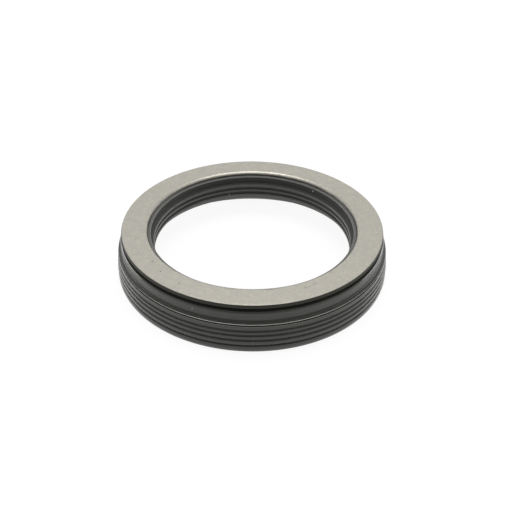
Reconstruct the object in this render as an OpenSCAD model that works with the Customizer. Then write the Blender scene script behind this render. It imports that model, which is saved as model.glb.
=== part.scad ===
// Wheel-end axle oil seal of the cassette kind: a flanged steel sleeve that turns with the axle
// inside a rubber-covered steel case pressed into the hub, with the sealing lips between them.
// Every piece is a ring turned about the Z axis. The case stands on its open end at z = 0.

/* [Case] */
// Outside radius over the pressing ribs
case_r = 76.4; // [76.2:0.1:76.8]
// Height from the open end of the case to the flange's face
total_h = 27.9; // [27.7:0.1:28.6]
// Sheet thickness of the outer cup
cup_sheet = 1.2; // [1.1:0.1:1.3]
// Outside radius of the outer cup's wall
cup_r = 73.1; // [73:0.1:73.2]
// Outside bend radius at the outer cup's corner
cup_bend_r = 3; // [2.6:0.1:3.2]
// Inside radius of the outer cup's leg
cup_leg_r = 66.5; // [66.4:0.1:67]
// Depth of the cup's leg below the flange's face
cup_leg_d = 5; // [4.9:0.1:5.2]

/* [Rubber jacket] */
// Depth of the jacket's top below the flange's face
jacket_top_d = 3.9; // [3.6:0.1:4]
// Radius of the shoulder where it is widest
shoulder_r = 73.9; // [73.8:0.05:74.2]
// Depth at which the shoulder's curve ends
shoulder_d = 5.2; // [5:0.1:5.6]
// Radius of the waist between the shoulder and the upper lip
waist_r = 73.65; // [73.5:0.05:73.7]
// Depth of the waist
waist_d = 10; // [9.8:0.05:10.1]
// Radius of the upper lip's edge
upper_lip_r = 75.3; // [75.2:0.1:75.6]
// Depth of the upper lip's edge
upper_lip_d = 10.5; // [10.3:0.05:10.55]
// Radius of the bumper bead on the jacket's top
bumper_r = 70; // [69.8:0.1:70.2]
// Section radius of the bumper bead
bumper_section_r = 0.9; // [0.6:0.1:1]

/* [Sleeve] */
// Outside radius of the flange
flange_r = 73.14; // [72.5:0.02:73.3]
// Sheet thickness of the flange
flange_sheet = 2.2; // [2:0.1:2.3]
// Thickness of the sleeve's wall and lower end, ironed thinner than the flange
sleeve_sheet = 1.5; // [1.3:0.1:1.6]
// Radius of the sleeve's wall on the bore side
sleeve_r = 58.2; // [58:0.1:58.2]
// Bend radius between the flange's face and the wall
flange_bend_r = 2.6; // [2.4:0.1:2.8]
// Bend radius under the flange, at the running wall
under_bend_r = 1.1; // [0.9:0.1:1.3]
// Bend radius of the flared lower end
flare_bend_r = 3.5; // [3:0.1:3.6]
// Depth of the sleeve's lower end below the flange's face
flare_d = 19.25; // [19:0.05:19.6]
// Outside radius of the flared lower end
flare_r = 64.4; // [64:0.1:65]
// Rounding of the flange's upper rim
rim_round = 0.7; // [0.4:0.1:0.8]
// Rounding of the sleeve's other sheet edges
edge_round = 0.25; // [0.1:0.05:0.4]

/* [Bore liner] */
// Radius over the crests of the bore ribs
bore_r = 55.4; // [55.2:0.1:55.8]
// Radius of the plain band above the ribs
liner_band_r = 57.5; // [57.4:0.1:57.7]
// Radius of the bead at the liner's upper edge
liner_bead_r = 57; // [56.9:0.05:57.2]
// Depth of the first bore rib below the flange's face
bore_rib_d = 8.1; // [8:0.1:8.2]
// Distance from one bore rib to the next
bore_rib_pitch = 3.05; // [2.9:0.05:3.1]
// Number of bore ribs
bore_rib_count = 3; // [3:1:3]
// Height of a bore rib above its groove
bore_rib_h = 0.6; // [0.4:0.1:0.8]
// Thickness of the liner where it wraps the flared lower end
liner_wrap = 0.6; // [0.4:0.1:0.7]

/* [Sealing lips] */
// Gap between each lip's edge and the steel that it wipes
lip_gap = 0.08; // [0.04:0.02:0.1]
// Sheet thickness of the lip carrier
carrier_sheet = 0.8; // [0.7:0.1:0.9]
// Inside radius of the lip carrier's leg
carrier_leg_r = 63.6; // [63.4:0.1:63.8]
// Depth of the lip carrier's lower edge
carrier_end_d = 14.2; // [12.7:0.1:15.7]
// Section radius of the garter spring
spring_section_r = 0.95; // [0.95:0.01:0.95]
// Radius of the garter spring's centre line
spring_r = 62.2; // [62.2:0.1:62.3]
// Depth of the garter spring's centre line
spring_d = 14.05; // [14:0.05:14.1]

/* [Hidden] */
$fn = 180;

steel = [0.73, 0.72, 0.69];
cup_steel = [0.55, 0.55, 0.54];
spring_steel = [0.66, 0.66, 0.64];
rubber = [0.3, 0.29, 0.28];
lip_rubber = [0.24, 0.23, 0.22];

// Centre of the cup's bend, as a radius and a depth
cup_bend = [cup_r - cup_bend_r, cup_leg_d + cup_bend_r];
// Depth of the cup's lower edge, covered by the jacket
cup_end_d = total_h - 1;
// Running face of the sleeve, which the lips wipe
running_r = sleeve_r + sleeve_sheet;
// Centres of the sleeve's upper and lower bends
flange_bend = [sleeve_r + flange_bend_r, flange_bend_r];
flare_bend = [sleeve_r + flare_bend_r, flare_d - flare_bend_r];
// Edge of every lip at the running face, depth of the main lip's edge, and the axial lip's under the flange
lip_r = running_r + lip_gap;
tip_d = spring_d + 0.3;
axial_lip_d = flange_sheet + lip_gap;
// Upper and lower face of the lip carrier's leg
carrier_top_d = cup_leg_d + cup_sheet;
carrier_low_d = carrier_top_d + carrier_sheet;
// Grooves between the lands outside the jacket, from the upper lip down, with the crest of the land below each
// and its rise above the groove; the first groove undercuts the upper lip
groove_d = [11.25, 14.7, 17.25, 20.2, 23.4];
land_r = [case_r - 0.75, case_r - 0.45, case_r - 0.2, case_r, case_r];
land_rise = [1.25, 0.75, 0.75, 0.75, 0.75];

// Points of an arc about c = [radius, depth], from one angle to another, measured upwards from outward
function arc(c, rad, from, to, steps) =
    [for (i = [0:steps]) let (a = from + (to - from) * i / steps) [c[0] + rad * cos(a), c[1] - rad * sin(a)]];

// Points of a quarter ellipse about c, from its top round to its outer side
function quarter(c, wide, high, steps) =
    [for (i = [0:steps]) let (a = 90 - 90 * i / steps) [c[0] + wide * cos(a), c[1] - high * sin(a)]];

function unit(v) = v / norm(v);

// Points of the corner c between p and q, rounded to the radius f
function corner(p, c, q, f, steps = 3) =
    let (u = unit(p - c), v = unit(q - c), half = acos(u * v) / 2)
    let (mid = c + unit(u + v) * f / sin(half), reach = f / tan(half))
    let (from = c + u * reach - mid, to = c + v * reach - mid)
    [for (i = [0:steps]) mid + f * unit(from * (steps - i) + to * i)];

// Path through corners given as [radius, depth, rounding]; the first and last stay sharp
function rounded(path) =
    let (at = [for (p = path) [p[0], p[1]]], last = len(path) - 1)
    [for (i = [0:last]) each i == 0 || i == last || path[i][2] == 0
        ? [at[i]]
        : corner(at[i - 1], at[i], at[i + 1], path[i][2])];

// A ring turned about Z from a section given as [radius, depth below the flange's face]
module ring(section) {
    rotate_extrude()
        polygon([for (p = section) [p[0], total_h - p[1]]]);
}

// Outer faces of the cup that the jacket is moulded on, from the leg round to the lower edge
function cup_face(leg_r) = concat(
    [[leg_r, cup_leg_d]],
    arc(cup_bend, cup_bend_r, 90, 0, 8),
    [[cup_r, cup_end_d]]
);

// Faces of the cup that the lip carrier is pressed against, from its lower edge up to its leg
function cup_seat(end_d, leg_r) = concat(
    [[cup_r - cup_sheet, end_d]],
    arc(cup_bend, cup_bend_r - cup_sheet, 0, 90, 8),
    [[leg_r, carrier_top_d]]
);

// Pressed steel cup that stiffens the case
module outer_cup() {
    color(cup_steel)
        ring(concat(cup_face(cup_leg_r), cup_seat(cup_end_d, cup_leg_r)));
}

// Corners of a land between two grooves: a steep upper edge, a flat crest and a tail that tapers inwards
function land(i) =
    let (top = groove_d[i], low = groove_d[i + 1], crest = land_r[i])
    [
        [crest - land_rise[i], top + 0.1, 0.1],
        [crest, top + 0.4, 0.35],
        [crest, low - 1.2, 1.5],
        [crest - 0.3, low - 0.4, 0.3],
        [land_r[i + 1] - land_rise[i + 1], low - 0.25, 0.15]
    ];

// Corners of the last land, which ends in the lead-in at the case's open end
last_land = [
    [case_r - land_rise[4], groove_d[4] + 0.1, 0.1],
    [case_r, groove_d[4] + 0.4, 0.35],
    [case_r, total_h - 2.4, 3],
    [case_r - 0.5, total_h - 0.8, 1],
    [case_r - 1.1, total_h, 0.3],
    [cup_r - 0.5, total_h, 0.6]
];

// Rubber moulded over the cup: bumper bead, rounded shoulder, upper lip, lands and open-end wrap
module outer_jacket() {
    inner_top_r = bumper_r - 1.8;
    bond = cup_face(inner_top_r);
    waist_and_lip = [
        [shoulder_r, shoulder_d + 0.1, 0],
        [shoulder_r, waist_d - 1.4, 3],
        [waist_r, waist_d, 0.4],
        [upper_lip_r, upper_lip_d, 0],
        [upper_lip_r, upper_lip_d + 0.3, 0.1],
        [land_r[0] - land_rise[0], groove_d[0] - 0.15, 0.1]
    ];
    color(rubber)
        ring(concat(
            [[inner_top_r, cup_leg_d]],
            arc([inner_top_r + 0.5, jacket_top_d + 0.5], 0.5, 180, 90, 4),
            arc([bumper_r, jacket_top_d], bumper_section_r, 180, 0, 12),
            quarter([shoulder_r - 1, shoulder_d], 1, shoulder_d - jacket_top_d, 12),
            rounded(concat(
                waist_and_lip,
                [for (i = [0:3]) each land(i)],
                last_land,
                [[cup_r - cup_sheet, cup_end_d, 0]]
            )),
            [for (i = [len(bond) - 1:-1:1]) bond[i]]
        ));
}

// Pressed steel ring, tight inside the cup, that the sealing lips are moulded on
module lip_carrier() {
    inner_bend_r = cup_bend_r - cup_sheet - carrier_sheet;
    color(cup_steel)
        ring(concat(
            cup_seat(carrier_end_d, carrier_leg_r),
            [[carrier_leg_r, carrier_low_d]],
            arc(cup_bend, inner_bend_r, 90, 0, 4),
            [[cup_bend[0] + inner_bend_r, carrier_end_d]]
        ));
}

// Point of the spring groove at an angle, as a sharp corner
function spring_point(a) = concat(arc([spring_r, spring_d], spring_section_r, a, a, 1)[0], 0);

// Moulded lips: an axial lip under the flange, a radial dust lip, and the main lip with its spring groove
module sealing_lip() {
    axial_and_dust_lips = [
        [carrier_leg_r, carrier_top_d, 0],
        [66.3, carrier_top_d, 0],
        [66.3, carrier_top_d - 0.6, 0.3],
        [65.6, carrier_top_d - 0.6, 0.4],
        [65.7, 4.6, 2],
        [66.8, axial_lip_d, 0.1],
        [66.4, axial_lip_d, 0.1],
        [64.9, 4.6, 2],
        [63.4, 5.7, 1],
        [62, 4.8, 1.5],
        [60.2, 4.4, 0.3],
        [lip_r, 4.5, 0.1],
        [lip_r, 4.8, 0.1],
        [61.9, 5.6, 0.7],
        [62.4, 8.3, 4],
        [60.8, 12.3, 0.6],
        [lip_r, tip_d - 0.15, 0],
        [lip_r, tip_d + 0.15, 0],
        [60.9, 16, 0.4],
        [62.9, 16, 0.5],
        spring_point(285)
    ];
    arm_back = [
        spring_point(75),
        [63.1, 12.1, 0.8],
        [63.7, 9.3, 3],
        [64.7, carrier_low_d + 0.6, 1],
        [67.6, carrier_low_d + 0.6, 0.3],
        [67.8, carrier_low_d, 0]
    ];
    color(lip_rubber)
        ring(concat(
            rounded(axial_and_dust_lips),
            arc([spring_r, spring_d], spring_section_r, 270, 90, 12),
            rounded(arm_back),
            [[carrier_leg_r, carrier_low_d]]
        ));
}

// Coiled wire ring that holds the main lip to the sleeve, as the closed outline of its turns
module garter_spring() {
    color(spring_steel)
        ring(arc([spring_r, spring_d], spring_section_r, 0, 345, 23));
}

// Pressed steel sleeve: flat flange, straight running wall and a lower end flared outwards
module inner_sleeve() {
    color(steel)
        ring(concat(
            arc([flange_r - edge_round, flange_sheet - edge_round], edge_round, 270, 360, 3),
            arc([flange_r - rim_round, rim_round], rim_round, 0, 90, 5),
            arc(flange_bend, flange_bend_r, 90, 180, 10),
            arc(flare_bend, flare_bend_r, 180, 270, 10),
            arc([flare_r - edge_round, flare_d - edge_round], edge_round, 270, 360, 3),
            arc([flare_r - edge_round, flare_d - sleeve_sheet + edge_round], edge_round, 0, 90, 3),
            arc(flare_bend, flare_bend_r - sleeve_sheet, 270, 180, 8),
            arc([running_r + under_bend_r, flange_sheet + under_bend_r], under_bend_r, 180, 90, 6)
        ));
}

// Corners of one rib of the bore, from below: a flat crest between two rounded flanks
function bore_rib(d) = [
    [bore_r + bore_rib_h, d + 1, 0.3],
    [bore_r, d + 0.55, 0.4],
    [bore_r, d - 0.55, 0.4],
    [bore_r + bore_rib_h, d - 1, 0.3]
];

// Rubber bonded inside the sleeve: wrapped lower end, ribs, plain band and a bead that ends on the flange's bend
module sleeve_liner() {
    wrap = arc(flare_bend, flare_bend_r + liner_wrap, 240, 213, 6);
    color(rubber)
        ring(concat(
            arc(flange_bend, flange_bend_r, 171, 180, 1),
            arc(flare_bend, flare_bend_r, 180, 243, 7),
            wrap,
            rounded(concat(
                [concat(wrap[6], 0)],
                [for (i = [bore_rib_count - 1:-1:0]) each bore_rib(bore_rib_d + i * bore_rib_pitch)],
                [
                    [liner_band_r, bore_rib_d - 2.1, 0.8],
                    [liner_band_r, 3.1, 0.3],
                    [liner_bead_r, 3, 0.25],
                    [liner_bead_r, 2.3, 0.5],
                    concat(flange_bend + flange_bend_r * [cos(171), -sin(171)], 0)
                ]
            ))
        ));
}

outer_cup();
outer_jacket();
lip_carrier();
sealing_lip();
garter_spring();
inner_sleeve();
sleeve_liner();
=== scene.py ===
"""Axle oil seal of the cassette kind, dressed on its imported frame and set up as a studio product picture.

Every ring is a closed section turned about Z by one Geometry Nodes tree, and the garter spring is wound
by another. Sections are drawn as radius and depth below the flange's face, in millimetres.
"""

import math

import bpy
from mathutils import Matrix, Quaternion, Vector


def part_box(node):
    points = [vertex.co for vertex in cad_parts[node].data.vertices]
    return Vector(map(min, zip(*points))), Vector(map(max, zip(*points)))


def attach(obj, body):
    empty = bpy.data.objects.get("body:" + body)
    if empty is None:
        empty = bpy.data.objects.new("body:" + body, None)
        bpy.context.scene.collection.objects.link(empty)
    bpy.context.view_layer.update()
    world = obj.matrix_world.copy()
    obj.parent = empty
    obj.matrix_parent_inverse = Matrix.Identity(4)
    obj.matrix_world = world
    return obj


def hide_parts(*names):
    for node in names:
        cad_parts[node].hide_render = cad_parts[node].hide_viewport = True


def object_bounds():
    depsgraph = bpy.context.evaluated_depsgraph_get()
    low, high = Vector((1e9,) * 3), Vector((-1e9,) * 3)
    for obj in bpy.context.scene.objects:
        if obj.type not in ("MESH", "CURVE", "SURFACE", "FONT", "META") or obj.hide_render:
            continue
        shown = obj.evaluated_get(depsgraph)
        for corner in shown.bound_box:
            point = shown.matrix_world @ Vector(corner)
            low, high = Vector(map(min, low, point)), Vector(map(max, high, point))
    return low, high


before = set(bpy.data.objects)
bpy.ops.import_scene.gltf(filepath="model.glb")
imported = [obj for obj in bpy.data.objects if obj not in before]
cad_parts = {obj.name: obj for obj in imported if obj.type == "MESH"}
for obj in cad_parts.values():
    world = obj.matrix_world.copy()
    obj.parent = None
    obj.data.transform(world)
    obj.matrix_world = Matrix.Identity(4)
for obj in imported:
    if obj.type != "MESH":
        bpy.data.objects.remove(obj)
CAD_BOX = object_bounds()
CASE_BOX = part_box("outer_jacket")

MM = 0.001

bl_info = {
    "name": "Axle oil seal",
    "version": (1, 0, 0),
    "blender": (4, 5, 0),
    "location": "View3D > Sidebar > Oil seal",
    "description": "Makes a cassette axle oil seal ring by ring, with its materials and its studio stage",
    "category": "Object",
}


# Sizes and colours

def linear(hex_colour):
    """Scene-linear RGBA of an sRGB colour written as #RRGGBB."""
    parts = [int(hex_colour[i:i + 2], 16) / 255 for i in (1, 3, 5)]
    return tuple(c / 12.92 if c <= 0.04045 else ((c + 0.055) / 1.055) ** 2.4 for c in parts) + (1.0,)


def size(name, description, millimetres):
    """A length property with its default in millimetres."""
    return bpy.props.FloatProperty(
        name=name, description=description, default=millimetres * MM, min=0, unit="LENGTH", precision=5)


def colour(name, description, hex_colour):
    """A colour property with its default as #RRGGBB."""
    return bpy.props.FloatVectorProperty(
        name=name, description=description, default=linear(hex_colour)[:3],
        size=3, subtype="COLOR", min=0, max=1)


class SealSizes(bpy.types.PropertyGroup):
    """Sizes of the seal, the same as those of its solids."""

    height: size("Height", "From the case's open end to the flange's face", CAD_BOX[1].z / MM)
    case_radius: size("Case radius", "Outside radius over the pressing ribs", CASE_BOX[1].x / MM)
    cup_sheet: size("Cup sheet", "Sheet thickness of the outer cup", 1.2)
    cup_radius: size("Cup radius", "Outside radius of the cup's wall", 73.1)
    cup_bend: size("Cup bend", "Outside bend radius at the cup's corner", 3)
    cup_leg_radius: size("Cup leg radius", "Inside radius of the cup's leg", 66.5)
    cup_leg_depth: size("Cup leg depth", "Depth of the cup's leg", 5)
    jacket_top_depth: size("Jacket top depth", "Depth of the jacket's flat top", 3.9)
    shoulder_radius: size("Shoulder radius", "Radius of the shoulder where it is widest", 73.9)
    shoulder_depth: size("Shoulder depth", "Depth at which the shoulder's curve ends", 5.2)
    waist_radius: size("Waist radius", "Radius of the waist between the shoulder and the upper lip", 73.65)
    waist_depth: size("Waist depth", "Depth of the waist", 10.0)
    upper_lip_radius: size("Upper lip radius", "Radius of the upper lip's edge", 75.3)
    upper_lip_depth: size("Upper lip depth", "Depth of the upper lip's edge", 10.5)
    bumper_radius: size("Bumper radius", "Radius of the bumper bead on the jacket's top", 70)
    bumper_section: size("Bumper section", "Section radius of the bumper bead", 0.9)
    flange_radius: size("Flange radius", "Outside radius of the sleeve's flange", 73.14)
    flange_sheet: size("Flange sheet", "Sheet thickness of the flange", 2.2)
    sleeve_sheet: size("Sleeve sheet", "Thickness of the sleeve's ironed wall", 1.5)
    sleeve_radius: size("Sleeve radius", "Radius of the sleeve's wall on the bore side", 58.2)
    flange_bend: size("Flange bend", "Bend radius between the flange's face and the wall", 2.6)
    under_bend: size("Under bend", "Bend radius under the flange, at the running wall", 1.1)
    flare_bend: size("Flare bend", "Bend radius of the flared lower end", 3.5)
    flare_depth: size("Flare depth", "Depth of the sleeve's lower end", 19.25)
    flare_radius: size("Flare radius", "Outside radius of the flared lower end", 64.4)
    rim_round: size("Rim rounding", "Rounding of the flange's upper rim", 0.7)
    edge_round: size("Edge rounding", "Rounding of the sheet's other edges", 0.25)
    bore_radius: size("Bore radius", "Radius over the crests of the bore ribs", 55.4)
    liner_band_radius: size("Liner band radius", "Radius of the plain band above the ribs", 57.5)
    liner_bead_radius: size("Liner bead radius", "Radius of the bead at the liner's upper edge", 57)
    liner_wrap: size("Liner wrap", "Thickness of the liner round the flared lower end", 0.6)
    bore_rib_depth: size("Bore rib depth", "Depth of the first bore rib", 8.1)
    bore_rib_pitch: size("Bore rib pitch", "Distance from one bore rib to the next", 3.05)
    bore_rib_height: size("Bore rib height", "Height of a bore rib above its groove", 0.6)
    bore_rib_count: bpy.props.IntProperty(
        name="Bore ribs", description="Number of ribs in the bore", default=3, min=1, max=3)
    lip_gap: size("Lip gap", "Gap between each lip's edge and the steel that it wipes", 0.08)
    carrier_sheet: size("Carrier sheet", "Sheet thickness of the lip carrier", 0.8)
    carrier_leg_radius: size("Carrier leg radius", "Inside radius of the lip carrier's leg", 63.6)
    carrier_end_depth: size("Carrier end depth", "Depth of the lip carrier's lower edge", 14.2)
    spring_section: size("Spring section", "Section radius of the garter spring", 0.95)
    spring_radius: size("Spring radius", "Radius of the garter spring's centre line", 62.2)
    spring_depth: size("Spring depth", "Depth of the garter spring's centre line", 14.05)
    spring_wire: size("Spring wire", "Thickness of the spring's wire", 0.36)
    steps_round: bpy.props.IntProperty(
        name="Steps round", description="Facets that each ring is turned with",
        default=360, min=24, max=720)


class SealColours(bpy.types.PropertyGroup):
    """Colours of the seal's materials."""

    sleeve_steel: colour("Sleeve steel", "Bare cold-rolled sheet of the sleeve", "#B9B6AA")
    tumbled_steel: colour("Tumbled steel", "Greyer blotches of the same sheet", "#AEAAA6")
    # Painted shade: the flange's rim gets this dark colour for the shade that it shows
    rim_shade: colour("Sheared edge", "Rim of the flange, as the blanking die leaves it", "#474743")
    # Dark tone of the band on the bore-side bend below the flange's face, and of the flange's small marks
    dark_tone: colour("Bonding coat", "Baked primer under the liner, seen on the bend", "#35332E")
    cup_steel: colour("Cup steel", "Bare pressed sheet of the cup and the lip carrier", "#8F8E8A")
    spring_steel: colour("Spring steel", "Drawn spring wire", "#B5B4B0")
    jacket_rubber: colour("Jacket rubber", "Nitrile rubber moulded over the case", "#3F403B")
    liner_rubber: colour("Liner rubber", "Nitrile rubber bonded in the bore", "#2A2A27")
    lip_rubber: colour("Lip rubber", "Nitrile rubber of the sealing lips", "#222120")
    # Dust on the rubber, and the painted highlight on its thin edges and crests
    rubber_dust_and_highlight: colour("Rubber bloom", "Wax and dust that dull the rubber's thin edges", "#E3E4DC")
    floor: colour("Floor", "Plain pale studio floor", "#F2F2F0")


def mm(name):
    """One of the seal's sizes, in millimetres."""
    return getattr(bpy.context.scene.seal_sizes, name) / MM


def tint(name, factor=1.0):
    """One of the seal's colours as linear RGBA, made darker or lighter by a factor."""
    return tuple(c * factor for c in getattr(bpy.context.scene.seal_colours, name)) + (1.0,)


# Sections

# Height of rubber below the cup's lower edge
END_RUBBER = 1.0
# Depths of the grooves outside the jacket, from the upper lip down
GROOVES = (11.25, 14.7, 17.25, 20.2, 23.4)
# For the land below each groove, how far its crest lies inside the case radius and rises over its groove
CREST_DROPS = (0.75, 0.45, 0.2, 0, 0)
CREST_RISES = (1.25, 0.75, 0.75, 0.75, 0.75)
# How far the jacket's inner edge lies inside the bumper bead's middle, and that edge's rounding
INNER_MARGIN, INNER_ROUND = 1.8, 0.5
# Width of the shoulder's curve
SHOULDER_CURVE = 1
# Two points of a section that are closer than this are one
SAME_POINT = 1e-4


def on_arc(centre, radius, degrees):
    """Point of an arc about a radius and a depth, in degrees measured upwards from outward."""
    turned = math.radians(degrees)
    return centre[0] + radius * math.cos(turned), centre[1] - radius * math.sin(turned)


def arc(centre, radius, start, end, steps):
    """Points of an arc from one angle to another."""
    return [on_arc(centre, radius, start + (end - start) * i / steps) for i in range(steps + 1)]


def quarter(centre, wide, high, steps):
    """Points of a quarter ellipse about a radius and a depth, from its top round to its outer side."""
    return [(centre[0] + wide * x, centre[1] + high * y) for x, y in arc((0, 0), 1, 90, 0, steps)]


def corner(before, at, after, rounding, steps=4):
    """Points of one corner, rounded."""
    before, at, after = (Vector(point) for point in (before, at, after))
    back, on = (before - at).normalized(), (after - at).normalized()
    half = back.angle(on) / 2
    centre = at + (back + on).normalized() * rounding / math.sin(half)
    reach = rounding / math.tan(half)
    first, last = at + back * reach - centre, at + on * reach - centre
    ways = [(first * (steps - i) + last * i).normalized() for i in range(steps + 1)]
    return [tuple(centre + way * rounding) for way in ways]


def rounded(path):
    """Path through corners given as radius, depth and rounding; its ends stay sharp."""
    points = []
    for i, (radius, depth, rounding) in enumerate(path):
        if rounding and 0 < i < len(path) - 1:
            points += corner(path[i - 1][:2], (radius, depth), path[i + 1][:2], rounding)
        else:
            points.append((radius, depth))
    return points


def cup_bend_centre():
    """Centre of the cup's bend, as a radius and a depth."""
    return mm("cup_radius") - mm("cup_bend"), mm("cup_leg_depth") + mm("cup_bend")


def cup_end_depth():
    """Depth of the cup's lower edge, which the jacket covers."""
    return mm("height") - END_RUBBER


def carrier_leg_depths():
    """Depths of the upper and the lower face of the lip carrier's leg."""
    top = mm("cup_leg_depth") + mm("cup_sheet")
    return top, top + mm("carrier_sheet")


def cup_face(leg_radius):
    """Outer faces of the cup that the jacket is moulded on, from the leg round to the lower edge."""
    bend = arc(cup_bend_centre(), mm("cup_bend"), 90, 0, 16)
    return [(leg_radius, mm("cup_leg_depth"))] + bend + [(mm("cup_radius"), cup_end_depth())]


def cup_seat(end_depth, leg_radius):
    """Inner faces of the cup that the lip carrier is pressed against, from below up to the cup's leg."""
    wall, leg_depth = mm("cup_radius") - mm("cup_sheet"), carrier_leg_depths()[0]
    bend = arc(cup_bend_centre(), mm("cup_bend") - mm("cup_sheet"), 0, 90, 12)
    return [(wall, end_depth)] + bend + [(leg_radius, leg_depth)]


def cup_section():
    """Pressed cup: its leg, its bend and its wall."""
    return cup_face(mm("cup_leg_radius")) + cup_seat(cup_end_depth(), mm("cup_leg_radius"))


def carrier_section():
    """Pressed lip carrier, tight against the inside of the cup."""
    leg, end = mm("carrier_leg_radius"), mm("carrier_end_depth")
    bend = mm("cup_bend") - mm("cup_sheet") - mm("carrier_sheet")
    centre = cup_bend_centre()
    return (cup_seat(end, leg) + [(leg, carrier_leg_depths()[1])]
            + arc(centre, bend, 90, 0, 6) + [(centre[0] + bend, end)])


def land(i):
    """Corners of a land between two grooves: steep upper edge, flat crest and a tail that tapers in."""
    top, low, crest = GROOVES[i], GROOVES[i + 1], mm("case_radius") - CREST_DROPS[i]
    next_groove = mm("case_radius") - CREST_DROPS[i + 1] - CREST_RISES[i + 1]
    return [
        (crest - CREST_RISES[i], top + 0.1, 0.1),
        (crest, top + 0.4, 0.35),
        (crest, low - 1.2, 1.5),
        (crest - 0.3, low - 0.4, 0.3),
        (next_groove, low - 0.25, 0.15),
    ]


def last_land():
    """Corners of the lowest land, which ends in the lead-in and wraps round the cup's lower edge."""
    case, height, cup = mm("case_radius"), mm("height"), mm("cup_radius")
    return [
        (case - CREST_RISES[4], GROOVES[4] + 0.1, 0.1),
        (case, GROOVES[4] + 0.4, 0.35),
        (case, height - 2.4, 3),
        (case - 0.5, height - 0.8, 1),
        (case - 1.1, height, 0.3),
        (cup - 0.5, height, 0.6),
        (cup - mm("cup_sheet"), cup_end_depth(), 0),
    ]


def jacket_section():
    """Bumper bead, rounded shoulder, waist and upper lip, five lands and the wrap round the open end."""
    top, inner = mm("jacket_top_depth"), mm("bumper_radius") - INNER_MARGIN
    wide, wide_depth = mm("shoulder_radius"), mm("shoulder_depth")
    lip, lip_depth = mm("upper_lip_radius"), mm("upper_lip_depth")
    outside = [
        (wide, wide_depth + 0.1, 0),
        (wide, mm("waist_depth") - 1.4, 3),
        (mm("waist_radius"), mm("waist_depth"), 0.4),
        (lip, lip_depth, 0),
        (lip, lip_depth + 0.3, 0.1),
        (mm("case_radius") - CREST_DROPS[0] - CREST_RISES[0], GROOVES[0] - 0.15, 0.1),
    ]
    for i in range(4):
        outside += land(i)
    return ([(inner, mm("cup_leg_depth"))]
            + arc((inner + INNER_ROUND, top + INNER_ROUND), INNER_ROUND, 180, 90, 6)
            + arc((mm("bumper_radius"), top), mm("bumper_section"), 180, 0, 16)
            + quarter((wide - SHOULDER_CURVE, wide_depth), SHOULDER_CURVE, wide_depth - top, 16)
            + rounded(outside + last_land())
            + cup_face(inner)[:0:-1])


def lip_section():
    """Axial lip under the flange, radial dust lip, and the main lip with its spring groove."""
    leg = mm("carrier_leg_radius")
    top, low = carrier_leg_depths()
    wiped = mm("sleeve_radius") + mm("sleeve_sheet") + mm("lip_gap")
    under_flange = mm("flange_sheet") + mm("lip_gap")
    # The main lip's edge lies just below the spring, and the spring's groove is part of its back
    tip = mm("spring_depth") + 0.3
    spring, coil = (mm("spring_radius"), mm("spring_depth")), mm("spring_section")
    groove_start, groove_end = (on_arc(spring, coil, degrees) + (0,) for degrees in (285, 75))
    axial_lip = [
        (leg, top, 0), (66.3, top, 0), (66.3, top - 0.6, 0.3), (65.6, top - 0.6, 0.4), (65.7, 4.6, 2),
        (66.8, under_flange, 0.1), (66.4, under_flange, 0.1), (64.9, 4.6, 2),
    ]
    dust_lip = [
        (63.4, 5.7, 1), (62, 4.8, 1.5), (60.2, 4.4, 0.3), (wiped, 4.5, 0.1), (wiped, 4.8, 0.1),
        (61.9, 5.6, 0.7),
    ]
    main_lip = [
        (62.4, 8.3, 4), (60.8, 12.3, 0.6), (wiped, tip - 0.15, 0), (wiped, tip + 0.15, 0),
        (60.9, 16, 0.4), (62.9, 16, 0.5), groove_start,
    ]
    arm_back = [
        groove_end, (63.1, 12.1, 0.8), (63.7, 9.3, 3), (64.7, low + 0.6, 1), (67.6, low + 0.6, 0.3),
        (67.8, low, 0),
    ]
    return (rounded(axial_lip + dust_lip + main_lip) + arc(spring, coil, 270, 90, 12)
            + rounded(arm_back) + [(leg, low)])


def sleeve_section():
    """Flat flange, ironed running wall and a lower end flared outwards."""
    wall, sheet, edge, rim = mm("sleeve_sheet"), mm("flange_sheet"), mm("edge_round"), mm("rim_round")
    flange, flare, low, under = mm("flange_radius"), mm("flare_radius"), mm("flare_depth"), mm("under_bend")
    upper = (mm("sleeve_radius") + mm("flange_bend"), mm("flange_bend"))
    lower = (mm("sleeve_radius") + mm("flare_bend"), low - mm("flare_bend"))
    return (arc((flange - edge, sheet - edge), edge, 270, 360, 4)
            + arc((flange - rim, rim), rim, 0, 90, 10)
            + arc(upper, mm("flange_bend"), 90, 180, 20)
            + arc(lower, mm("flare_bend"), 180, 270, 20)
            + arc((flare - edge, low - edge), edge, 270, 360, 4)
            + arc((flare - edge, low - wall + edge), edge, 0, 90, 4)
            + arc(lower, mm("flare_bend") - wall, 270, 180, 12)
            + arc((mm("sleeve_radius") + wall + under, sheet + under), under, 180, 90, 8))


def bore_rib(depth):
    """Corners of one rib of the bore, from below: a flat crest between two rounded flanks."""
    crest, foot = mm("bore_radius"), mm("bore_radius") + mm("bore_rib_height")
    crest_half, foot_half = 0.55, 1
    return [
        (foot, depth + foot_half, 0.3),
        (crest, depth + crest_half, 0.4),
        (crest, depth - crest_half, 0.4),
        (foot, depth - foot_half, 0.3),
    ]


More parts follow.
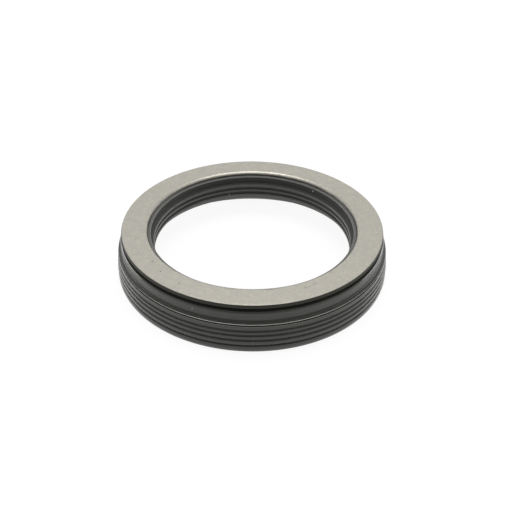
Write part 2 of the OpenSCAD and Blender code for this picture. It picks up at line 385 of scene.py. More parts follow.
def liner_section():
    """Wrapped lower end, ribs, plain band and the upper bead that ends on the flange's bend."""
    upper, lower = mm("flange_bend"), mm("flare_bend")
    bend = (mm("sleeve_radius") + upper, upper)
    flare = (mm("sleeve_radius") + lower, mm("flare_depth") - lower)
    first, band, bead = mm("bore_rib_depth"), mm("liner_band_radius"), mm("liner_bead_radius")
    # The liner's upper edge and its edge under the flare, in degrees of the steel's two bends. The wrap's
    # outer face ends a little sooner, and leaves the flare's curve where the ribs start
    upper_edge, lower_edge = 171, 243
    wrap = arc(flare, lower + mm("liner_wrap"), lower_edge - 3, 213, 12)
    path = [wrap[-1] + (0,)]
    for i in reversed(range(bpy.context.scene.seal_sizes.bore_rib_count)):
        path += bore_rib(first + i * mm("bore_rib_pitch"))
    path += [
        (band, first - 2.1, 0.8),
        (band, 3.1, 0.3),
        (bead, 3, 0.25),
        (bead, 2.3, 0.5),
        on_arc(bend, upper, upper_edge) + (0,),
    ]
    steel = arc(bend, upper, upper_edge, 180, 2) + arc(flare, lower, 180, lower_edge, 14)
    return steel + wrap + rounded(path)


def filled(points, spacing):
    """Closed section with its long sides cut into short ones, and no point twice."""
    made = []
    for p, q in zip(points, points[1:] + points[:1]):
        length = math.dist(p, q)
        if length > SAME_POINT:
            parts = max(1, math.ceil(length / spacing))
            made += [tuple(a + (b - a) * i / parts for a, b in zip(p, q)) for i in range(parts)]
    return made


def relief(points, reach=0.7):
    """Height of each point of a closed section, drawn clockwise, over the mean of the outline near it. The
    mean is taken along the outline both ways, and its weight falls to about a third at reach, in mm."""
    heights = []
    count = len(points)
    for i, point in enumerate(points):
        total, weight = Vector((0, 0)), 0.0
        for way in (1, -1):
            gone, j = 0.0, i
            while gone < 2 * reach:
                k = (j + way) % count
                step = math.dist(points[j], points[k])
                middle = (Vector(points[j]) + Vector(points[k])) / 2
                share = step * math.exp(-((gone + step / 2) / reach) ** 2)
                total, weight = total + middle * share, weight + share
                gone, j = gone + step, k
        along = Vector(points[(i + 1) % count]) - Vector(points[i - 1])
        outward = Vector((-along.y, along.x)).normalized()
        heights.append((Vector(point) - total / weight).dot(outward))
    return heights


# Node trees

# Settings of a Mix node on colours, and the places of its sockets, whose names its other kinds share
COLOURS = {"data_type": "RGBA"}
SHARE, UNDER, OVER, MIXED = 0, 6, 7, 2
# Points of a ring that are closer than this, in metres, are merged
MERGE_DISTANCE = 2e-6


def add(tree, kind, settings=None, links=None):
    """Adds a node with its settings, and feeds its inputs from values or from other nodes' sockets."""
    made = tree.nodes.new(kind)
    for name, value in (settings or {}).items():
        setattr(made, name, value)
    for name, value in (links or {}).items():
        if isinstance(value, bpy.types.NodeSocket):
            tree.links.new(value, made.inputs[name])
        else:
            made.inputs[name].default_value = value
    return made


def empty_tree(owner):
    """The node tree of a material or a world, with nothing in it yet."""
    owner.use_nodes = True
    owner.node_tree.nodes.clear()
    return owner.node_tree


def geometry_tree(name, sockets):
    """A Geometry Nodes tree with named inputs and one mesh output."""
    tree = bpy.data.node_groups.new(name, "GeometryNodeTree")
    for label, kind, value in sockets:
        socket = tree.interface.new_socket(label, in_out="INPUT", socket_type=kind)
        if value is not None:
            socket.default_value = value
    tree.interface.new_socket("Mesh", in_out="OUTPUT", socket_type="NodeSocketGeometry")
    return tree


def finish_tree(tree, mesh, given):
    """Ends a tree: smooth faces with sharp creases, real instances and the material."""
    angle = add(tree, "GeometryNodeInputMeshEdgeAngle").outputs["Unsigned Angle"]
    sharp = add(tree, "FunctionNodeCompare", {"data_type": "FLOAT", "operation": "GREATER_THAN"},
                {0: angle, 1: given["Crease angle"]})
    smooth = add(tree, "GeometryNodeSetShadeSmooth", {"domain": "FACE"},
                 {"Geometry": mesh, "Shade Smooth": True})
    creased = add(tree, "GeometryNodeSetShadeSmooth", {"domain": "EDGE"},
                  {"Geometry": smooth.outputs[0], "Selection": sharp.outputs[0], "Shade Smooth": False})
    real = add(tree, "GeometryNodeRealizeInstances", None, {"Geometry": creased.outputs[0]})
    painted = add(tree, "GeometryNodeSetMaterial", None,
                  {"Geometry": real.outputs[0], "Material": given["Material"]})
    add(tree, "NodeGroupOutput", None, {"Mesh": painted.outputs[0]})


def turned_ring_tree():
    """Turns a closed section, drawn as edges in the XZ plane, about Z, and keeps its relief for the
    material. The ring's faces are those of a grid: its rows are the section's points, its columns the steps
    round, and what meets at the ends is merged."""
    tree = geometry_tree("turned_ring", (
        ("Section", "NodeSocketGeometry", None),
        ("Steps round", "NodeSocketInt", 360),
        ("Unevenness", "NodeSocketFloat", 0.0),
        ("Unevenness size", "NodeSocketFloat", 0.01),
        ("Crease angle", "NodeSocketFloat", math.radians(32)),
        ("Material", "NodeSocketMaterial", None),
    ))
    given = add(tree, "NodeGroupInput").outputs
    whole, number = "FunctionNodeIntegerMath", "ShaderNodeMath"
    section = given["Section"]
    points = add(tree, "GeometryNodeAttributeDomainSize", {"component": "MESH"},
                 {"Geometry": section}).outputs["Point Count"]
    columns = add(tree, whole, {"operation": "ADD"}, {0: given["Steps round"], 1: 1}).outputs[0]
    rows = add(tree, whole, {"operation": "ADD"}, {0: points, 1: 1}).outputs[0]
    grid = add(tree, "GeometryNodeMeshGrid", None, {"Vertices X": rows, "Vertices Y": columns})
    # The section's point and the step round that each of the grid's points stands for
    index = add(tree, "GeometryNodeInputIndex").outputs[0]
    row = add(tree, whole, {"operation": "DIVIDE_FLOOR"}, {0: index, 1: columns}).outputs[0]
    point = add(tree, whole, {"operation": "MODULO"}, {0: row, 1: points}).outputs[0]
    column = add(tree, whole, {"operation": "MODULO"}, {0: index, 1: columns}).outputs[0]
    position = add(tree, "GeometryNodeInputPosition").outputs[0]
    drawn = add(tree, "GeometryNodeSampleIndex", {"data_type": "FLOAT_VECTOR", "domain": "POINT"},
                {"Geometry": section, "Value": position, "Index": point}).outputs[0]
    height = add(tree, "GeometryNodeInputNamedAttribute", {"data_type": "FLOAT"},
                 {"Name": "relief"}).outputs[0]
    carried = add(tree, "GeometryNodeSampleIndex", {"data_type": "FLOAT", "domain": "POINT"},
                  {"Geometry": section, "Value": height, "Index": point}).outputs[0]
    kept = add(tree, "GeometryNodeStoreNamedAttribute", {"data_type": "FLOAT", "domain": "POINT"},
               {"Geometry": grid.outputs["Mesh"], "Name": "relief", "Value": carried})
    share = add(tree, number, {"operation": "DIVIDE"}, {0: column, 1: given["Steps round"]}).outputs[0]
    angle = add(tree, number, {"operation": "MULTIPLY"}, {0: share, 1: math.tau}).outputs[0]
    turned = add(tree, "ShaderNodeVectorRotate", {"rotation_type": "Z_AXIS"},
                 {"Vector": drawn, "Angle": angle})
    ring = add(tree, "GeometryNodeSetPosition", None,
               {"Geometry": kept.outputs[0], "Position": turned.outputs[0]})
    closed = add(tree, "GeometryNodeMergeByDistance", None,
                 {"Geometry": ring.outputs[0], "Distance": MERGE_DISTANCE})
    # The unevenness only takes material away, so the ring stays inside its solid
    per_metre = add(tree, number, {"operation": "DIVIDE"}, {0: 1.0, 1: given["Unevenness size"]})
    noise = add(tree, "ShaderNodeTexNoise", None, {"Scale": per_metre.outputs[0], "Detail": 2.0})
    depth = add(tree, number, {"operation": "SUBTRACT"}, {0: noise.outputs["Fac"], 1: 1.0})
    amount = add(tree, number, {"operation": "MULTIPLY"},
                 {0: depth.outputs[0], 1: given["Unevenness"]}).outputs[0]
    normal = add(tree, "GeometryNodeInputNormal").outputs[0]
    offset = add(tree, "ShaderNodeVectorMath", {"operation": "SCALE"}, {0: normal, "Scale": amount})
    uneven = add(tree, "GeometryNodeSetPosition", None,
                 {"Geometry": closed.outputs[0], "Offset": offset.outputs[0]})
    finish_tree(tree, uneven.outputs[0], given)
    return tree


def wound_spring_tree():
    """Winds a wire round a circle about Z: a close-coiled helix whose ends meet."""
    tree = geometry_tree("wound_spring", (
        ("Base", "NodeSocketGeometry", None),
        ("Ring radius", "NodeSocketFloat", 0.0622),
        ("Height", "NodeSocketFloat", 0.0),
        ("Coil radius", "NodeSocketFloat", 0.0008),
        ("Wire radius", "NodeSocketFloat", 0.0002),
        ("Turns", "NodeSocketInt", 1000),
        ("Steps a turn", "NodeSocketInt", 10),
        ("Sides", "NodeSocketInt", 6),
        ("Crease angle", "NodeSocketFloat", math.pi),
        ("Material", "NodeSocketMaterial", None),
    ))
    given = add(tree, "NodeGroupInput").outputs
    whole, number = "FunctionNodeIntegerMath", "ShaderNodeMath"
    # One point for each step of each turn, wound about the ring's centre line
    count = add(tree, whole, {"operation": "MULTIPLY"},
                {0: given["Turns"], 1: given["Steps a turn"]}).outputs[0]
    line = add(tree, "GeometryNodeMeshLine", None, {"Count": count})
    index = add(tree, "GeometryNodeInputIndex").outputs[0]
    share = add(tree, number, {"operation": "DIVIDE"}, {0: index, 1: count}).outputs[0]
    around = add(tree, number, {"operation": "MULTIPLY"}, {0: share, 1: math.tau}).outputs[0]
    wound = add(tree, number, {"operation": "MULTIPLY"}, {0: around, 1: given["Turns"]}).outputs[0]
    cosine = add(tree, number, {"operation": "COSINE"}, {0: wound}).outputs[0]
    sine = add(tree, number, {"operation": "SINE"}, {0: wound}).outputs[0]
    radius = add(tree, number, {"operation": "MULTIPLY_ADD"},
                 {0: cosine, 1: given["Coil radius"], 2: given["Ring radius"]}).outputs[0]
    height = add(tree, number, {"operation": "MULTIPLY_ADD"},
                 {0: sine, 1: given["Coil radius"], 2: given["Height"]}).outputs[0]
    flat = add(tree, "ShaderNodeCombineXYZ", None, {"X": radius, "Z": height})
    place = add(tree, "ShaderNodeVectorRotate", {"rotation_type": "Z_AXIS"},
                {"Vector": flat.outputs[0], "Angle": around})
    helix = add(tree, "GeometryNodeSetPosition", None,
                {"Geometry": line.outputs[0], "Position": place.outputs[0]})
    path = add(tree, "GeometryNodeMeshToCurve", None, {"Mesh": helix.outputs[0]})
    loop = add(tree, "GeometryNodeSetSplineCyclic", None, {"Geometry": path.outputs[0], "Cyclic": True})
    wire = add(tree, "GeometryNodeCurvePrimitiveCircle", None,
               {"Resolution": given["Sides"], "Radius": given["Wire radius"]})
    swept = add(tree, "GeometryNodeCurveToMesh", None,
                {"Curve": loop.outputs[0], "Profile Curve": wire.outputs["Curve"]})
    finish_tree(tree, swept.outputs[0], given)
    return tree


def in_scene(name, data):
    """A new object in the scene, made from a mesh, a light or a camera."""
    made = bpy.data.objects.new(name, data)
    bpy.context.scene.collection.objects.link(made)
    return made


def run_tree(name, mesh, tree, values):
    """Runs a tree on a mesh and keeps the result as a plain mesh object."""
    piece = in_scene(name, mesh)
    modifier = piece.modifiers.new(tree.name, "NODES")
    modifier.node_group = tree
    identifiers = {s.name: s.identifier for s in tree.interface.items_tree if s.in_out == "INPUT"}
    for label, value in values.items():
        modifier[identifiers[label]] = value
    depsgraph = bpy.context.evaluated_depsgraph_get()
    made = bpy.data.meshes.new_from_object(piece.evaluated_get(depsgraph), depsgraph=depsgraph)
    piece.modifiers.remove(modifier)
    piece.data = made
    made.name = name
    bpy.data.meshes.remove(mesh)
    if len(made.polygons) == 0:
        raise RuntimeError(f"{name} came out empty")
    return piece


def turn(name, section, material, unevenness=0.0, unevenness_size=10.0, spacing=0.5):
    """Turns a section of radii and depths into a ring. How deep and how wide its unevenness is, and how far
    apart the section's points are, are in millimetres too."""
    height = mm("height")
    points = filled([(r, height - d) for r, d in section], spacing)
    # Twice the section's area, which is positive where it is drawn anticlockwise
    area = sum(p[0] * q[1] - q[0] * p[1] for p, q in zip(points, points[1:] + points[:1]))
    if area > 0:
        points.reverse()
    mesh = bpy.data.meshes.new(name + "_section")
    edges = [(i, (i + 1) % len(points)) for i in range(len(points))]
    mesh.from_pydata([(r * MM, 0, z * MM) for r, z in points], edges, [])
    mesh.attributes.new("relief", "FLOAT", "POINT").data.foreach_set("value", relief(points))
    tree = bpy.data.node_groups.get("turned_ring") or turned_ring_tree()
    return run_tree(name, mesh, tree, {
        "Steps round": bpy.context.scene.seal_sizes.steps_round,
        "Unevenness": unevenness * MM,
        "Unevenness size": unevenness_size * MM,
        "Material": material,
    })


# Materials

# Small marks that the photograph shows: azimuth in degrees, radius and depth, half length round the ring
# and half width, lean in degrees, and strength
FLANGE_MARKS = (
    (-144.9, 63.9, 0, 1.4, 1.0, 10, 0.28),
    (-136, 65.6, 0, 0.55, 0.5, 0, 0.7),
    (-123.3, 66.6, 0, 1.3, 0.8, 30, 0.3),
    (-65, 64.2, 0, 1.8, 0.45, 20, 0.33),
    (-63.1, 64.4, 0, 1.5, 0.4, 25, 0.3),
    (-59.9, 63.4, 0, 2.0, 0.45, 5, 0.3),
    (-39, 62.3, 0, 1.6, 0.4, -5, 0.2),
)
JACKET_DUST = (
    (-113.7, 73.9, 6.6, 0.4, 0.7, 0, 0.4),
    (-89.4, 75.9, 21.3, 0.3, 0.9, 0, 0.3),
)
BORE_DUST = (
    (50.2, 57.3, 4.8, 0.6, 0.6, 0, 1.0),
    (105.0, 55.65, 13.35, 0.7, 0.5, 0, 0.5),
)


def principled(name, base, roughness, **settings):
    """A material with one Principled shader, its tree and the shader's inputs."""
    material = bpy.data.materials.new(name)
    tree = empty_tree(material)
    shader = add(tree, "ShaderNodeBsdfPrincipled", None,
                 {"Base Color": base, "Roughness": roughness, **settings})
    add(tree, "ShaderNodeOutputMaterial", None, {"Surface": shader.outputs[0]})
    return material, tree, shader.inputs


def laid_over(tree, toned, tone, pattern, start, end, most=1.0):
    """Colour with a tone laid over it: none where a pattern is at start, growing to most at end."""
    share = add(tree, "ShaderNodeMapRange", None,
                {"Value": pattern, "From Min": start, "From Max": end, "To Max": most}).outputs[0]
    return add(tree, "ShaderNodeMix", COLOURS, {SHARE: share, UNDER: toned, OVER: tone}).outputs[MIXED]


def spotted(tree, place, toned, marks, tone):
    """Colour with small elliptic marks on it, each full up to 0.4 of its size and faded out at its edge."""
    for azimuth, radius, depth, length, width, lean, strength in marks:
        turned = math.radians(azimuth)
        centre = (radius * math.cos(turned) * MM, radius * math.sin(turned) * MM,
                  (mm("height") - depth) * MM)
        local = add(tree, "ShaderNodeMapping", {"vector_type": "TEXTURE"}, {
            "Vector": place, "Location": centre, "Rotation": (0, 0, turned + math.radians(90 + lean)),
            "Scale": (length * MM, width * MM, width * MM)}).outputs[0]
        away = add(tree, "ShaderNodeVectorMath", {"operation": "LENGTH"}, {0: local}).outputs["Value"]
        toned = laid_over(tree, toned, tone, away, 1.0, 0.4, most=strength)
    return toned


def cold_rolled_sheet_steel():
    """Cold-rolled low-carbon steel, pressed and tumbled: matte warm grey with a fine grain, and a rough rim
    where the blanking die sheared it, with painted shade on it."""
    material, tree, inputs = principled("cold_rolled_sheet_steel", tint("sleeve_steel"), 0.42, Metallic=1.0)
    place = add(tree, "ShaderNodeTexCoord").outputs["Object"]
    # Grain of the tumbled sheet, drawn about 0.8 mm wide because the real one is finer than a pixel
    grain = add(tree, "ShaderNodeTexNoise", None,
                {"Vector": place, "Scale": 1 / (0.8 * MM), "Detail": 3.0, "Roughness": 0.6}).outputs["Fac"]
    toned = laid_over(tree, tint("sleeve_steel", 0.76), tint("sleeve_steel", 1.23), grain, 0.3, 0.7)
    # Soft clouds, about 7 mm wide, where the oil film on the sheet is thicker
    cloud = add(tree, "ShaderNodeTexNoise", None,
                {"Vector": place, "Scale": 1 / (7 * MM), "Detail": 3.0, "Roughness": 0.55}).outputs["Fac"]
    toned = laid_over(tree, toned, tint("sleeve_steel", 0.93), cloud, 0.38, 0.62, most=0.6)
    # Greyer and pinker blotches, about 3 mm wide, where the sheet was tumbled more
    blotch = add(tree, "ShaderNodeTexNoise", None,
                 {"Vector": place, "Scale": 1 / (3 * MM), "Detail": 2.0, "Roughness": 0.5}).outputs["Fac"]
    toned = laid_over(tree, toned, tint("tumbled_steel"), blotch, 0.38, 0.62, most=0.5)
    toned = spotted(tree, place, toned, FLANGE_MARKS, tint("dark_tone"))
    # The sheared rim: the flange's edge and the outer part of its rounding, which gets a painted shade
    flat = add(tree, "ShaderNodeVectorMath", {"operation": "MULTIPLY"}, {0: place, 1: (1, 1, 0)}).outputs[0]
    radius = add(tree, "ShaderNodeVectorMath", {"operation": "LENGTH"}, {0: flat}).outputs["Value"]
    rim = mm("flange_radius") * MM
    sheared = add(tree, "ShaderNodeMapRange", None,
                  {"Value": radius, "From Min": rim - 0.5 * MM, "From Max": rim - 0.15 * MM}).outputs[0]
    toned = add(tree, "ShaderNodeMix", COLOURS,
                {SHARE: sheared, UNDER: toned, OVER: tint("rim_shade")}).outputs[MIXED]
    # A dark, non-metallic band on the bore side, below the flange's face. Its edge wanders and leans
    leaning = add(tree, "ShaderNodeVectorMath", {"operation": "DOT_PRODUCT"},
                  {0: place, 1: (0, 0.008, 1)}).outputs["Value"]
    wander = add(tree, "ShaderNodeMath", {"operation": "MULTIPLY_ADD"},
                 {0: cloud, 1: 0.5 * MM, 2: leaning}).outputs[0]
    top = (mm("height") - 0.2) * MM
    below = add(tree, "ShaderNodeMapRange", None,
                {"Value": wander, "From Min": top, "From Max": top - 0.5 * MM}).outputs[0]
    bend = mm("sleeve_radius") + mm("flange_bend")
    inside = add(tree, "ShaderNodeMapRange", None, {
        "Value": radius, "From Min": (bend + 0.4) * MM, "From Max": (bend + 0.2) * MM}).outputs[0]
    dark_band = add(tree, "ShaderNodeMath", {"operation": "MULTIPLY"}, {0: below, 1: inside}).outputs[0]
    toned = add(tree, "ShaderNodeMix", COLOURS,
                {SHARE: dark_band, UNDER: toned, OVER: tint("dark_tone")}).outputs[MIXED]
    tree.links.new(toned, inputs["Base Color"])
    bare = add(tree, "ShaderNodeMath", {"operation": "SUBTRACT"}, {0: 1.0, 1: dark_band}).outputs[0]
    tree.links.new(bare, inputs["Metallic"])
    # The gloss varies with the oil film, and the sheared rim is nearly matte
    rough = add(tree, "ShaderNodeMapRange", None, {
        "Value": cloud, "From Min": 0.3, "From Max": 0.7, "To Min": 0.38, "To Max": 0.47}).outputs[0]
    rough = add(tree, "ShaderNodeMix", {"data_type": "FLOAT"},
                {"Factor": sheared, "A": rough, "B": 0.75}).outputs["Result"]
    tree.links.new(rough, inputs["Roughness"])
    bump = add(tree, "ShaderNodeBump", None, {"Height": grain, "Strength": 0.25, "Distance": 0.03 * MM})
    tree.links.new(bump.outputs[0], inputs["Normal"])
    return material


def drawn_cup_steel():
    """Deep-drawn steel sheet, left bare inside the case: duller, with drawing marks round it."""
    steel, dark, light = (tint("cup_steel", factor) for factor in (1.0, 0.8, 1.1))
    material, tree, inputs = principled("drawn_cup_steel", steel, 0.45, Metallic=1.0)
    place = add(tree, "ShaderNodeTexCoord").outputs["Object"]
    # Drawing marks, 2.5 mm long round the wall and a sixth of that down it
    along = add(tree, "ShaderNodeMapping", None, {"Vector": place, "Scale": (1, 1, 6)}).outputs[0]
    marks = add(tree, "ShaderNodeTexNoise", None,
                {"Vector": along, "Scale": 1 / (2.5 * MM), "Detail": 3.0, "Roughness": 0.6}).outputs["Fac"]
    toned = add(tree, "ShaderNodeMix", COLOURS, {SHARE: marks, UNDER: dark, OVER: light}).outputs[MIXED]
    tree.links.new(toned, inputs["Base Color"])
    rough = add(tree, "ShaderNodeMapRange", None, {
        "Value": marks, "From Min": 0.3, "From Max": 0.7, "To Min": 0.38, "To Max": 0.55}).outputs[0]
    tree.links.new(rough, inputs["Roughness"])
    return material


def drawn_spring_wire():
    """Drawn and tempered spring wire: bright, with a faint shade from the tempering."""
    steel, shaded = tint("spring_steel"), tint("spring_steel", 0.85)
    material, tree, inputs = principled("drawn_spring_wire", steel, 0.25, Metallic=1.0)
    place = add(tree, "ShaderNodeTexCoord").outputs["Object"]
    # Shade of the tempering, in patches about 5 mm long
    temper = add(tree, "ShaderNodeTexNoise", None, {"Vector": place, "Scale": 1 / (5 * MM)}).outputs["Fac"]
    toned = add(tree, "ShaderNodeMix", COLOURS, {SHARE: temper, UNDER: shaded, OVER: steel}).outputs[MIXED]
    tree.links.new(toned, inputs["Base Color"])
    return material


def moulded_nitrile_rubber(name, base, roughness, low, high, behind=1.0, dust=()):
    """Compression-moulded nitrile rubber: black and slightly glossy. The two reliefs in mm of low start and
    end a painted shade that darkens its grooves and recesses, and those of high a lighter tone on its thin
    edges and crests, which is partly dust and partly a painted highlight. Away from the front that tone
    drops to the share behind, so its painted highlight is strongest at the front. The tuple dust holds
    small marks."""
    material, tree, inputs = principled(name, tint(base), roughness, IOR=1.5)
    place = add(tree, "ShaderNodeTexCoord").outputs["Object"]
    # Patches, about 6 mm wide, where the wax has bloomed more
    patch = add(tree, "ShaderNodeTexNoise", None,
                {"Vector": place, "Scale": 1 / (6 * MM), "Detail": 3.0, "Roughness": 0.6}).outputs["Fac"]
    toned = laid_over(tree, tint(base, 0.9), tint(base, 1.1), patch, 0.35, 0.7)
    height = add(tree, "ShaderNodeAttribute", {"attribute_name": "relief"}).outputs["Fac"]
    # The front is at -75 mm along Y, and 35 mm further back the lighter edges are down to their share
    # behind: their painted highlight is strongest at the front
    along = add(tree, "ShaderNodeSeparateXYZ", None, {"Vector": place}).outputs["Y"]
    dust_and_front_highlight = add(tree, "ShaderNodeMapRange", None, {
        "Value": along, "From Min": -75 * MM, "From Max": -40 * MM,
        "To Min": 1.0, "To Max": behind}).outputs[0]
    # Painted shade: darker in the grooves and recesses, where the relief is low
    toned = laid_over(tree, toned, tint(base, 0.2), height, *low)
    # Dust and painted highlight: lighter on the thin edges and crests, where the relief is high
    toned = laid_over(tree, toned, tint("rubber_dust_and_highlight"), height, *high, most=dust_and_front_highlight)
    tree.links.new(spotted(tree, place, toned, dust, tint("rubber_dust_and_highlight")), inputs["Base Color"])
    # Handling polishes the crests, and the recesses stay matte as moulded
    rough = add(tree, "ShaderNodeMapRange", None, {
        "Value": height, "From Min": -0.02, "From Max": 0.06,
        "To Min": roughness + 0.15, "To Max": roughness - 0.15}).outputs[0]
    tree.links.new(rough, inputs["Roughness"])
    # Grain of the mould, drawn about 0.7 mm wide because the real one is finer than a pixel
    grain = add(tree, "ShaderNodeTexNoise", None,
                {"Vector": place, "Scale": 1 / (0.7 * MM), "Detail": 3.0, "Roughness": 0.6}).outputs["Fac"]
    bump = add(tree, "ShaderNodeBump", None, {"Height": grain, "Strength": 0.08, "Distance": 0.02 * MM})
    tree.links.new(bump.outputs[0], inputs["Normal"])
    return material


# Stage

# Radius of the round floor, its facets, and how far it lies below the case's open end, in metres
FLOOR_RADIUS, FLOOR_FACETS, FLOOR_GAP = 3.0, 96, 0.00002
WHITE = (1, 1, 1, 1)
# Brightness, in a reflection, of the backdrop, of the room behind the camera and of the ceiling
BACKDROP, ROOM, CEILING = 1.05, 0.35, 0.5
# Share of that brightness that the soft light has
SOFT_SHARE = 0.7
# Name, place, width and height in metres, watts, and the share that lights matte surfaces
LAMPS = (
    ("top_softbox", (0.0, 0.16, 0.9), (0.55, 0.42), 3.2, 1.0),
    ("left_softbox", (-0.6, 0.22, 0.09), (0.42, 0.18), 1.4, 0.4),
    ("right_softbox", (0.6, 0.22, 0.09), (0.42, 0.18), 1.4, 0.4),
)
# What the lamps are turned to, in metres
LAMP_AIM = (0, 0, 0.02)
# The photograph's camera: place and aim in metres, roll in degrees, lens and sensor in millimetres, and
# shift as a share of the picture's width
CAMERA_PLACE, CAMERA_AIM, CAMERA_ROLL = (0, -0.3914, 0.2837), (0, 0, 0.0272), 0.409
CAMERA_LENS, CAMERA_SENSOR, CAMERA_SHIFT = 58.676, 36, (0.0054, -0.0590)


def seen_directly(tree):
    """1 for rays from the camera, in a mirror or through glass, and 0 for soft light."""
    path = add(tree, "ShaderNodeLightPath").outputs
    seen = add(tree, "ShaderNodeMath", {"operation": "MAXIMUM"},
               {0: path["Is Camera Ray"], 1: path["Is Glossy Ray"]})
    return add(tree, "ShaderNodeMath", {"operation": "MAXIMUM"},
               {0: seen.outputs[0], 1: path["Is Transmission Ray"]}).outputs[0]


def make_floor():
    """Pale floor that shows as white and keeps the seal's soft shadow."""
    mesh = bpy.data.meshes.new("floor")
    turns = [math.tau * i / FLOOR_FACETS for i in range(FLOOR_FACETS)]
    ring = [(FLOOR_RADIUS * math.cos(a), FLOOR_RADIUS * math.sin(a), -FLOOR_GAP) for a in turns]
    mesh.from_pydata(ring, [], [tuple(range(FLOOR_FACETS))])
    floor = in_scene("floor", mesh)
    material = bpy.data.materials.new("studio_floor")
    tree = empty_tree(material)
    camera_ray = add(tree, "ShaderNodeLightPath").outputs["Is Camera Ray"]
    matte = add(tree, "ShaderNodeBsdfDiffuse", None, {"Color": tint("floor")})
    # The camera sees a nearly white floor, and a reflection sees one with more of the shadow
    share = add(tree, "ShaderNodeMapRange", None,
                {"Value": camera_ray, "To Min": 0.2, "To Max": 0.13}).outputs[0]
    lift = add(tree, "ShaderNodeMapRange", None,
               {"Value": camera_ray, "To Min": 0.9, "To Max": 0.92}).outputs[0]
    dim = add(tree, "ShaderNodeBsdfDiffuse", None, {"Color": share})
    glow = add(tree, "ShaderNodeEmission", None, {"Color": WHITE, "Strength": lift})
    white = add(tree, "ShaderNodeAddShader", None, {0: dim.outputs[0], 1: glow.outputs[0]})
    mixed = add(tree, "ShaderNodeMixShader", None,
                {0: seen_directly(tree), 1: matte.outputs[0], 2: white.outputs[0]})
    add(tree, "ShaderNodeOutputMaterial", None, {"Surface": mixed.outputs[0]})
    mesh.materials.append(material)


def make_world():
    """White backdrop for the camera, one that dims towards the viewer's side for reflections, and the same
    one, dimmed, as soft light."""
    world = bpy.data.worlds.new("studio")
    tree = empty_tree(world)
    way = add(tree, "ShaderNodeTexCoord").outputs["Generated"]
    # The room behind the camera is dim, and all the rest is white
    facing = add(tree, "ShaderNodeVectorMath", {"operation": "DOT_PRODUCT"},
                 {0: way, 1: (0, -0.9, 0.43)}).outputs["Value"]
    room = add(tree, "ShaderNodeMapRange", {"interpolation_type": "SMOOTHSTEP"}, {
        "Value": facing, "From Min": 0.5, "From Max": 0.95, "To Min": BACKDROP, "To Max": ROOM}).outputs[0]
    # The backdrop ends about 45 degrees up, lower at its sides, and the ceiling above it is dim
    mirrored = add(tree, "ShaderNodeVectorMath", {"operation": "ABSOLUTE"}, {0: way}).outputs[0]
    up = add(tree, "ShaderNodeVectorMath", {"operation": "DOT_PRODUCT"},
             {0: mirrored, 1: (0.35, 0, 1)}).outputs["Value"]
    ceiling = add(tree, "ShaderNodeMapRange", {"interpolation_type": "SMOOTHSTEP"}, {
        "Value": up, "From Min": 0.66, "From Max": 0.8, "To Min": BACKDROP, "To Max": CEILING}).outputs[0]
    room = add(tree, "ShaderNodeMath", {"operation": "MINIMUM"}, {0: room, 1: ceiling}).outputs[0]
    camera_ray = add(tree, "ShaderNodeLightPath").outputs["Is Camera Ray"]
    strength = add(tree, "ShaderNodeMath", {"operation": "MAXIMUM"}, {0: room, 1: camera_ray}).outputs[0]
    dimmed = add(tree, "ShaderNodeMath", {"operation": "MULTIPLY"}, {0: room, 1: SOFT_SHARE}).outputs[0]
    soft = add(tree, "ShaderNodeBackground", None, {"Color": WHITE, "Strength": dimmed})
    white = add(tree, "ShaderNodeBackground", None, {"Color": WHITE, "Strength": strength})
    mixed = add(tree, "ShaderNodeMixShader", None,
                {0: seen_directly(tree), 1: soft.outputs[0], 2: white.outputs[0]})
    add(tree, "ShaderNodeOutputWorld", None, {"Surface": mixed.outputs[0]})
    bpy.context.scene.world = world


def aim(thing, place, target, roll=0.0):
    """Puts a lamp or the camera in its place, turned to a target and rolled by some degrees."""
    thing.location = place
    thing.rotation_mode = "QUATERNION"
    turned = (Vector(target) - Vector(place)).to_track_quat("-Z", "Y")
    thing.rotation_quaternion = turned @ Quaternion((0, 0, 1), math.radians(roll))


def make_lamps():
    """A large softbox over the seal and a low one on each side."""
    for name, place, (width, height), watts, matte_share in LAMPS:
        light = bpy.data.lights.new(name, "AREA")
        light.shape = "RECTANGLE"
        light.size, light.size_y, light.energy = width, height, watts
        light.diffuse_factor = matte_share
        aim(in_scene(name, light), place, LAMP_AIM)


def make_camera():
    """Camera at the photograph's view: 33 degrees above the floor."""
    data = bpy.data.cameras.new("camera")
    data.lens, data.sensor_width = CAMERA_LENS, CAMERA_SENSOR
    data.shift_x, data.shift_y = CAMERA_SHIFT
    data.clip_start, data.clip_end = 0.01, 20
    camera = in_scene("camera", data)
    aim(camera, CAMERA_PLACE, CAMERA_AIM, CAMERA_ROLL)
    bpy.context.scene.camera = camera
    bpy.context.scene.view_settings.view_transform = "Standard"


# Operators

def finish_piece(piece, body, node):
    """Hides the imported part that a piece stands for, and puts the piece on the body that it rides on."""
    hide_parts(node)
    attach(piece, body)


class SEAL_OT_sleeve(bpy.types.Operator):
    """Make the pressed steel sleeve with its flat flange"""

    bl_idname = "seal.sleeve"
    bl_label = "Sleeve"

    def execute(self, context):
        piece = turn("sleeve_pressing", sleeve_section(), cold_rolled_sheet_steel(),
                     unevenness=0.02, unevenness_size=14)
        finish_piece(piece, "sleeve", "inner_sleeve")
        return {"FINISHED"}


class SEAL_OT_liner(bpy.types.Operator):
    """Make the ribbed rubber liner of the bore"""

    bl_idname = "seal.liner"
    bl_label = "Bore liner"

    def execute(self, context):
        # Painted shade darkens the liner below its mean relief, and a painted highlight lightens its rib
        # crests
        material = moulded_nitrile_rubber(
            "moulded_liner_rubber", "liner_rubber", roughness=0.5, low=(0, -3), high=(0.04, 0.72),
            dust=BORE_DUST)
        piece = turn("bore_liner_moulding", liner_section(), material,
                     unevenness=0.03, unevenness_size=9, spacing=0.35)
        finish_piece(piece, "sleeve", "sleeve_liner")
        return {"FINISHED"}


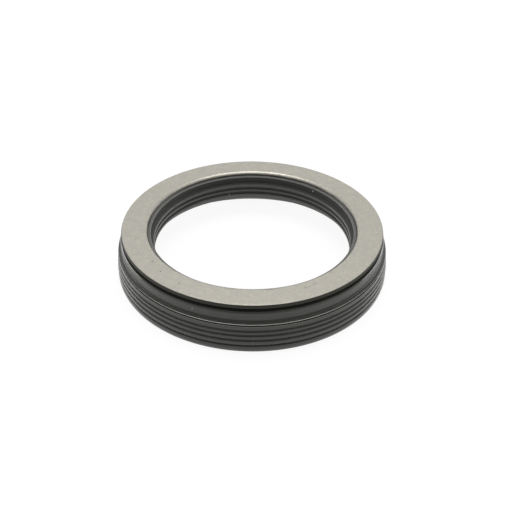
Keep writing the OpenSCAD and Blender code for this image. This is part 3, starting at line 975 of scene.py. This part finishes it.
class SEAL_OT_jacket(bpy.types.Operator):
    """Make the ribbed rubber jacket of the case"""

    bl_idname = "seal.jacket"
    bl_label = "Jacket"

    def execute(self, context):
        # Painted shade in the deep grooves and hollows, and dust and a painted highlight on the upper lip's
        # edge, strongest at the front
        material = moulded_nitrile_rubber(
            "moulded_jacket_rubber", "jacket_rubber", roughness=0.3, low=(-0.2, -0.34), high=(0.178, 0.225),
            behind=0.27, dust=JACKET_DUST)
        piece = turn("jacket_moulding", jacket_section(), material,
                     unevenness=0.01, unevenness_size=9, spacing=0.8)
        finish_piece(piece, "case", "outer_jacket")
        return {"FINISHED"}


class SEAL_OT_case_steel(bpy.types.Operator):
    """Make the pressed cup and the lip carrier"""

    bl_idname = "seal.case_steel"
    bl_label = "Cup and lip carrier"

    def execute(self, context):
        material = drawn_cup_steel()
        cup = turn("cup_pressing", cup_section(), material)
        finish_piece(cup, "case", "outer_cup")
        carrier = turn("carrier_pressing", carrier_section(), material)
        finish_piece(carrier, "case", "lip_carrier")
        return {"FINISHED"}


class SEAL_OT_lips(bpy.types.Operator):
    """Make the moulded sealing lips"""

    bl_idname = "seal.lips"
    bl_label = "Sealing lips"

    def execute(self, context):
        # Painted shade in the recesses, and dust and a painted highlight on the thinnest edges
        material = moulded_nitrile_rubber(
            "moulded_lip_rubber", "lip_rubber", roughness=0.4, low=(0, -0.3), high=(0.2, 1))
        finish_piece(turn("lip_moulding", lip_section(), material), "case", "sealing_lip")
        return {"FINISHED"}


class SEAL_OT_spring(bpy.types.Operator):
    """Wind the garter spring of the main lip"""

    bl_idname = "seal.spring"
    bl_label = "Garter spring"

    def execute(self, context):
        wire = mm("spring_wire")
        # The turns lie side by side, with a fiftieth of the wire's thickness between them
        turns = int(math.tau * mm("spring_radius") / (wire * 1.02))
        piece = run_tree("garter_spring_coil", bpy.data.meshes.new("spring_base"), wound_spring_tree(), {
            "Ring radius": mm("spring_radius") * MM,
            "Height": (mm("height") - mm("spring_depth")) * MM,
            "Coil radius": (mm("spring_section") - wire / 2) * MM,
            "Wire radius": wire / 2 * MM,
            "Turns": turns,
            "Material": drawn_spring_wire(),
        })
        finish_piece(piece, "case", "garter_spring")
        return {"FINISHED"}


class SEAL_OT_stage(bpy.types.Operator):
    """Set up the floor, the backdrop, the lamps and the camera"""

    bl_idname = "seal.stage"
    bl_label = "Stage"

    def execute(self, context):
        make_floor()
        make_world()
        make_lamps()
        make_camera()
        return {"FINISHED"}


# Panel and registration

OPERATORS = (SEAL_OT_sleeve, SEAL_OT_liner, SEAL_OT_jacket, SEAL_OT_case_steel, SEAL_OT_lips,
             SEAL_OT_spring, SEAL_OT_stage)


class SEAL_PT_panel(bpy.types.Panel):
    """Lists the seal's pieces, sizes and colours"""

    bl_idname = "SEAL_PT_panel"
    bl_label = "Oil seal"
    bl_space_type = "VIEW_3D"
    bl_region_type = "UI"
    bl_category = "Oil seal"

    def draw(self, context):
        for operator in OPERATORS:
            self.layout.operator(operator.bl_idname)
        for group in (context.scene.seal_sizes, context.scene.seal_colours):
            box = self.layout.box()
            for name in group.__annotations__:
                box.prop(group, name)


CLASSES = (SealSizes, SealColours) + OPERATORS + (SEAL_PT_panel,)


def register():
    """Registers the classes and gives the scene its sizes and colours."""
    for cls in CLASSES:
        bpy.utils.register_class(cls)
    bpy.types.Scene.seal_sizes = bpy.props.PointerProperty(type=SealSizes)
    bpy.types.Scene.seal_colours = bpy.props.PointerProperty(type=SealColours)


def unregister():
    """Takes away what register gives."""
    del bpy.types.Scene.seal_colours
    del bpy.types.Scene.seal_sizes
    for cls in reversed(CLASSES):
        bpy.utils.unregister_class(cls)


def main():
    """Makes the seal and its stage in order."""
    register()
    for operator in OPERATORS:
        getattr(bpy.ops.seal, operator.bl_idname.split(".")[1])()


if __name__ == "__main__":
    main()
